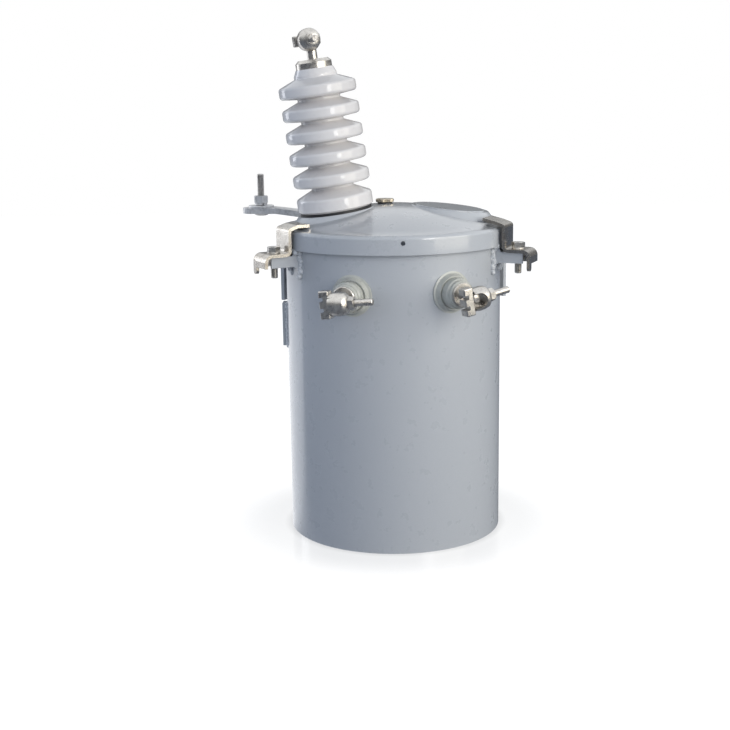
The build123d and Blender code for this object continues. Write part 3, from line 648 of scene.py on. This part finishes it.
# ---------------------------------------------------------------- high-voltage bushing
# Wet-process porcelain, turned and fired with a light grey glaze that lies a little thinner in
# places. It stands on a black rubber ring, and the cover's gasket and the fill plug are of the
# same rubber.
glaze, tree, gloss = finish_of("porcelain")
patch = blotches(tree, 14.0, 3.0)
pool = blotches(tree, 90.0, 3.0)
body = tint(tree, between(tree, patch, 0.0, 1.0), (0.665, 0.635, 0.61), (0.72, 0.69, 0.665))
thin = tint(tree, between(tree, pool, 0.0, 0.5, low_at=0.58, high_at=0.74), body, (0.61, 0.58, 0.56))
join_up(tree, gloss, thin, between(tree, patch, 0.03, 0.07), relief(tree, patch, 0.0012, 0.35))
dress(nodes["hv_bushing"], glaze)

rubber, tree, gloss = finish_of("rubber_black")
patch = blotches(tree, 200.0, 3.0)
black = tint(tree, between(tree, patch, 0.0, 1.0), (0.010, 0.010, 0.012), (0.025, 0.025, 0.027))
join_up(tree, gloss, black, between(tree, patch, 0.45, 0.65), relief(tree, patch, 0.0002, 0.4))
for name in ("hv_gasket", "cover_gasket", "fill_plug"):
    dress(nodes[name], rubber)


# ---------------------------------------------------------------- terminals
# Each low-voltage terminal is a moulded grey-green bushing in a pressed ring of the same colour,
# with a tinned bronze stud, an eyebolt cast and tinned, its jaw and its nut. The high-voltage
# bushing carries the same eyebolt on its own stud.
bronze, tree, gloss = finish_of("tinned_bronze")
patch = blotches(tree, 150.0, 5.0, 0.65)
pits = blotches(tree, 700.0, 4.0, 0.7)
gloss.inputs["Metallic"].default_value = 1.0
tinned = tint(tree, between(tree, patch, 0.0, 1.0), (0.50, 0.475, 0.45), (0.72, 0.70, 0.66))
# Darker where the metal turns edge-on to the viewer: a painted dark reflection round its rims.
edge_on = put(tree, "ShaderNodeLayerWeight", {"Blend": 0.5}).outputs["Facing"]
painted_rim_shade = tint(tree, ramp(tree, edge_on, 0.55, 0.95), tinned, (0.26, 0.24, 0.23))
# Real pits, laid over that painted rim shade.
pits_and_rim_shade = tint(
    tree, between(tree, pits, 0.0, 0.7, low_at=0.56, high_at=0.72), painted_rim_shade, (0.34, 0.31, 0.29))
join_up(
    tree, gloss, pits_and_rim_shade, between(tree, patch, 0.2, 0.45),
    relief(tree, pits, 0.00015, 0.6, relief(tree, patch, 0.0003, 0.5)))

sleeve, tree, gloss = finish_of("lv_sleeve")
patch = blotches(tree, 60.0, 3.0)
green_grey = tint(tree, between(tree, patch, 0.0, 1.0), (0.44, 0.44, 0.395), (0.51, 0.51, 0.46))
join_up(tree, gloss, green_grey, between(tree, patch, 0.25, 0.4), relief(tree, patch, 0.0003, 0.3))

for side in ("left", "right"):
    dress(nodes[f"lv_collar_{side}"], sleeve)
    dress(nodes[f"lv_bushing_{side}"], sleeve)
    for kind in ("stud", "eye", "jaw"):
        dress(nodes[f"lv_{kind}_{side}"], bronze)
for kind in ("cap", "stud", "eye", "jaw"):
    dress(nodes[f"hv_{kind}"], bronze)

eye_centre = 0.242               # from the tank's axis to the middle of the eye
eye_sag = 0.003                  # the eye's middle, below the stud's axis
nut_seat = 0.023                 # along the eyebolt's shank, from the middle of the eye
tail_start = nut_seat + 0.0085   # the thread begins inside the nut
tail_end = 0.062
tail_inset = 0.0001              # keeps the thread's end inside the shank's
tail_radius = 0.00545
tail_pitch = 0.0015
eye_flats = 0.018                # eyebolt's nut, across its flats
eye_nut_height = 0.0095
eye_nut_bore = 0.0050
stud_places = {                  # azimuth, height, and the eye's tilt
    "left": (-26.0, 0.4175, 6.0), "right": (26.0, 0.4195, 9.5)}
hv_azimuth = -81.0
hv_offset = 0.0945               # the high-voltage bushing's foot, from the tank's axis
hv_foot = 0.5365                 # and its height
hv_lean = 7.9                    # outwards
cap_top = 0.2445                 # top of its cap, along its own axis
washer_end = 0.2115              # the same face of a low-voltage terminal, from the tank's axis

hang = Matrix.Translation((eye_centre, 0.0, -eye_sag))
eye_frames = {
    side: around_axis(azimuth) @ Matrix.Translation((0.0, 0.0, height)) @ turn_of(tilt, "X") @ hang
    for side, (azimuth, height, tilt) in stud_places.items()
}
eye_frames["hv"] = (
    around_axis(hv_azimuth) @ Matrix.Translation((hv_offset, 0.0, hv_foot)) @ turn_of(hv_lean, "Y")
    @ Matrix.Translation((0.0, 0.0, cap_top - washer_end)) @ turn_of(-90.0, "Y") @ hang)
for side, place in eye_frames.items():
    node = "hv_eye_nut" if side == "hv" else f"lv_eye_nut_{side}"
    along = place @ turn_of(-90.0, "X")
    whole = bmesh.new()
    nut = hexagon(eye_flats, eye_nut_height, eye_nut_bore)
    fold_in(whole, nut, along @ Matrix.Translation((0.0, 0.0, nut_seat)))
    tail = threaded(tail_radius, tail_end - tail_start, tail_pitch, bronze)
    tail_middle = (tail_start + tail_end) / 2 - tail_inset
    fold_in(whole, tail, along @ Matrix.Translation((0.0, 0.0, tail_middle)))
    finished(f"eye_nut_{side}", whole, bronze, "tinned_bronze", node)


# ---------------------------------------------------------------- arrester bar and its stud
# Hot-dip galvanised bar, bent and flared at its foot, with an M12 stud, a plain washer, a split
# washer and a heavy nut. The zinc is mottled, with a duller, darker film on the stud.
galvanised, tree, gloss = finish_of("galvanised")
patch = blotches(tree, 95.0, 4.0)
spangle = put(tree, "ShaderNodeTexVoronoi", {
    "Vector": put(tree, "ShaderNodeTexCoord").outputs["Object"], "Scale": 260.0}).outputs["Distance"]
gloss.inputs["Metallic"].default_value = 0.55
dip = tint(tree, between(tree, patch, 0.0, 1.0), (0.56, 0.55, 0.535), (0.80, 0.785, 0.765))
flakes = tint(tree, between(tree, spangle, 0.0, 0.5, low_at=0.2, high_at=0.7), dip, (0.82, 0.82, 0.83))
join_up(
    tree, gloss, flakes, between(tree, patch, 0.28, 0.52),
    relief(tree, patch, 0.0004, 0.5, relief(tree, spangle, 0.00015, 0.4)))
dress(nodes["arrester_bracket"], galvanised, soften=0.0010)

film, tree, gloss = finish_of("stud_zinc")
patch = blotches(tree, 260.0, 5.0, 0.7)
gloss.inputs["Metallic"].default_value = 1.0
dull = tint(tree, between(tree, patch, 0.0, 1.0), (0.30, 0.295, 0.29), (0.62, 0.61, 0.60))
join_up(tree, gloss, dull, between(tree, patch, 0.28, 0.5), relief(tree, patch, 0.0002, 0.5))

plain_sheet = 0.0035             # plain washer's thickness
plain_outline = [
    (0.0062, 0.0), (0.0211, 0.0), (0.0215, 0.0005),
    (0.0215, plain_sheet - 0.0008), (0.0209, plain_sheet), (0.0062, plain_sheet)]
split_outline = [
    (0.0063, 0.0002), (0.0101, 0.0001), (0.0105, 0.0006), (0.0105, 0.0029), (0.0101, 0.0034),
    (0.0063, 0.0033)]
split_gap = math.radians(14.0)
split_start = split_gap / 2 - math.radians(70.0)   # the gap faces the front
split_rise = 0.0006              # from one end of the split washer to the other
split_parts = 60
heavy_flats = 0.0215             # heavy nut, across its flats
head_height = 0.005
head_outline = [
    (0.0, 0.0), (0.0040, 0.0001), (0.0075, 0.0007), (0.0105, 0.0019), (0.0125, 0.0037),
    (0.0130, head_height), (0.0, head_height)]

nut_low, nut_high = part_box("arrester_nut")
middle = (nut_low + nut_high) / 2
plain_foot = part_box("arrester_washer")[0].z
whole = bmesh.new()
fold_in(whole, turned(plain_outline), upright_at(middle, plain_foot))
split = bmesh.new()
sections = []
for k in range(split_parts + 1):
    angle = split_start + (2 * math.pi - split_gap) * k / split_parts
    rise = split_rise * k / split_parts
    sections.append([split.verts.new((radius * math.cos(angle), radius * math.sin(angle), height + rise))
                     for radius, height in split_outline])
skin(split, sections)
split.faces.new(sections[0])
split.faces.new(sections[-1])
fold_in(whole, split, upright_at(middle, plain_foot + plain_sheet))
finished("arrester_washers", whole, galvanised, "galvanised", "arrester_washer")

whole = bmesh.new()
nut = hexagon(heavy_flats, nut_high.z - nut_low.z, nut_bore)
fold_in(whole, nut, upright_at(middle, nut_low.z) @ turn_of(9.0, "Z"))
finished("arrester_heavy_nut", whole, galvanised, "galvanised", "arrester_nut")

low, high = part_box("arrester_bolt")
head_top = low.z + head_height
whole = bmesh.new()
fold_in(whole, turned(head_outline), upright_at(middle, low.z))
shank = threaded(bolt_radius, high.z - head_top, bolt_pitch, film)
fold_in(whole, shank, upright_at(middle, (high.z + head_top) / 2))
finished("arrester_stud", whole, film, "galvanised", "arrester_bolt")


# ---------------------------------------------------------------- fill plug's cap
# Small brass cap, turned, with a straight knurl pressed round its edge, that screws down on the
# rubber of the fill plug. The brass is dull, with dirty patches.
brass, tree, gloss = finish_of("brass")
patch = blotches(tree, 190.0, 4.0)
gloss.inputs["Metallic"].default_value = 1.0
dirty = tint(tree, between(tree, patch, 0.0, 1.0), (0.30, 0.26, 0.20), (0.66, 0.60, 0.50))
join_up(tree, gloss, dirty, between(tree, patch, 0.25, 0.45), relief(tree, patch, 0.0002, 0.4))

ridges = 28
low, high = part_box("fill_cap")
knurl = grown(
    bar_tree, bpy.data.meshes.new("blank"), Radius=(high.x - low.x) / 2, Length=high.z - low.z,
    Sides=6 * ridges, Rings=10, Depth=0.0009, Bevel=0.0011, Finish=brass,
    **{"Grooves round": float(ridges), "Grooves along": 0.0})
whole = bmesh.new()
fold_in(whole, knurl, Matrix.Translation((low + high) / 2))
finished("knurled_cap", whole, brass, "brass", "fill_cap")
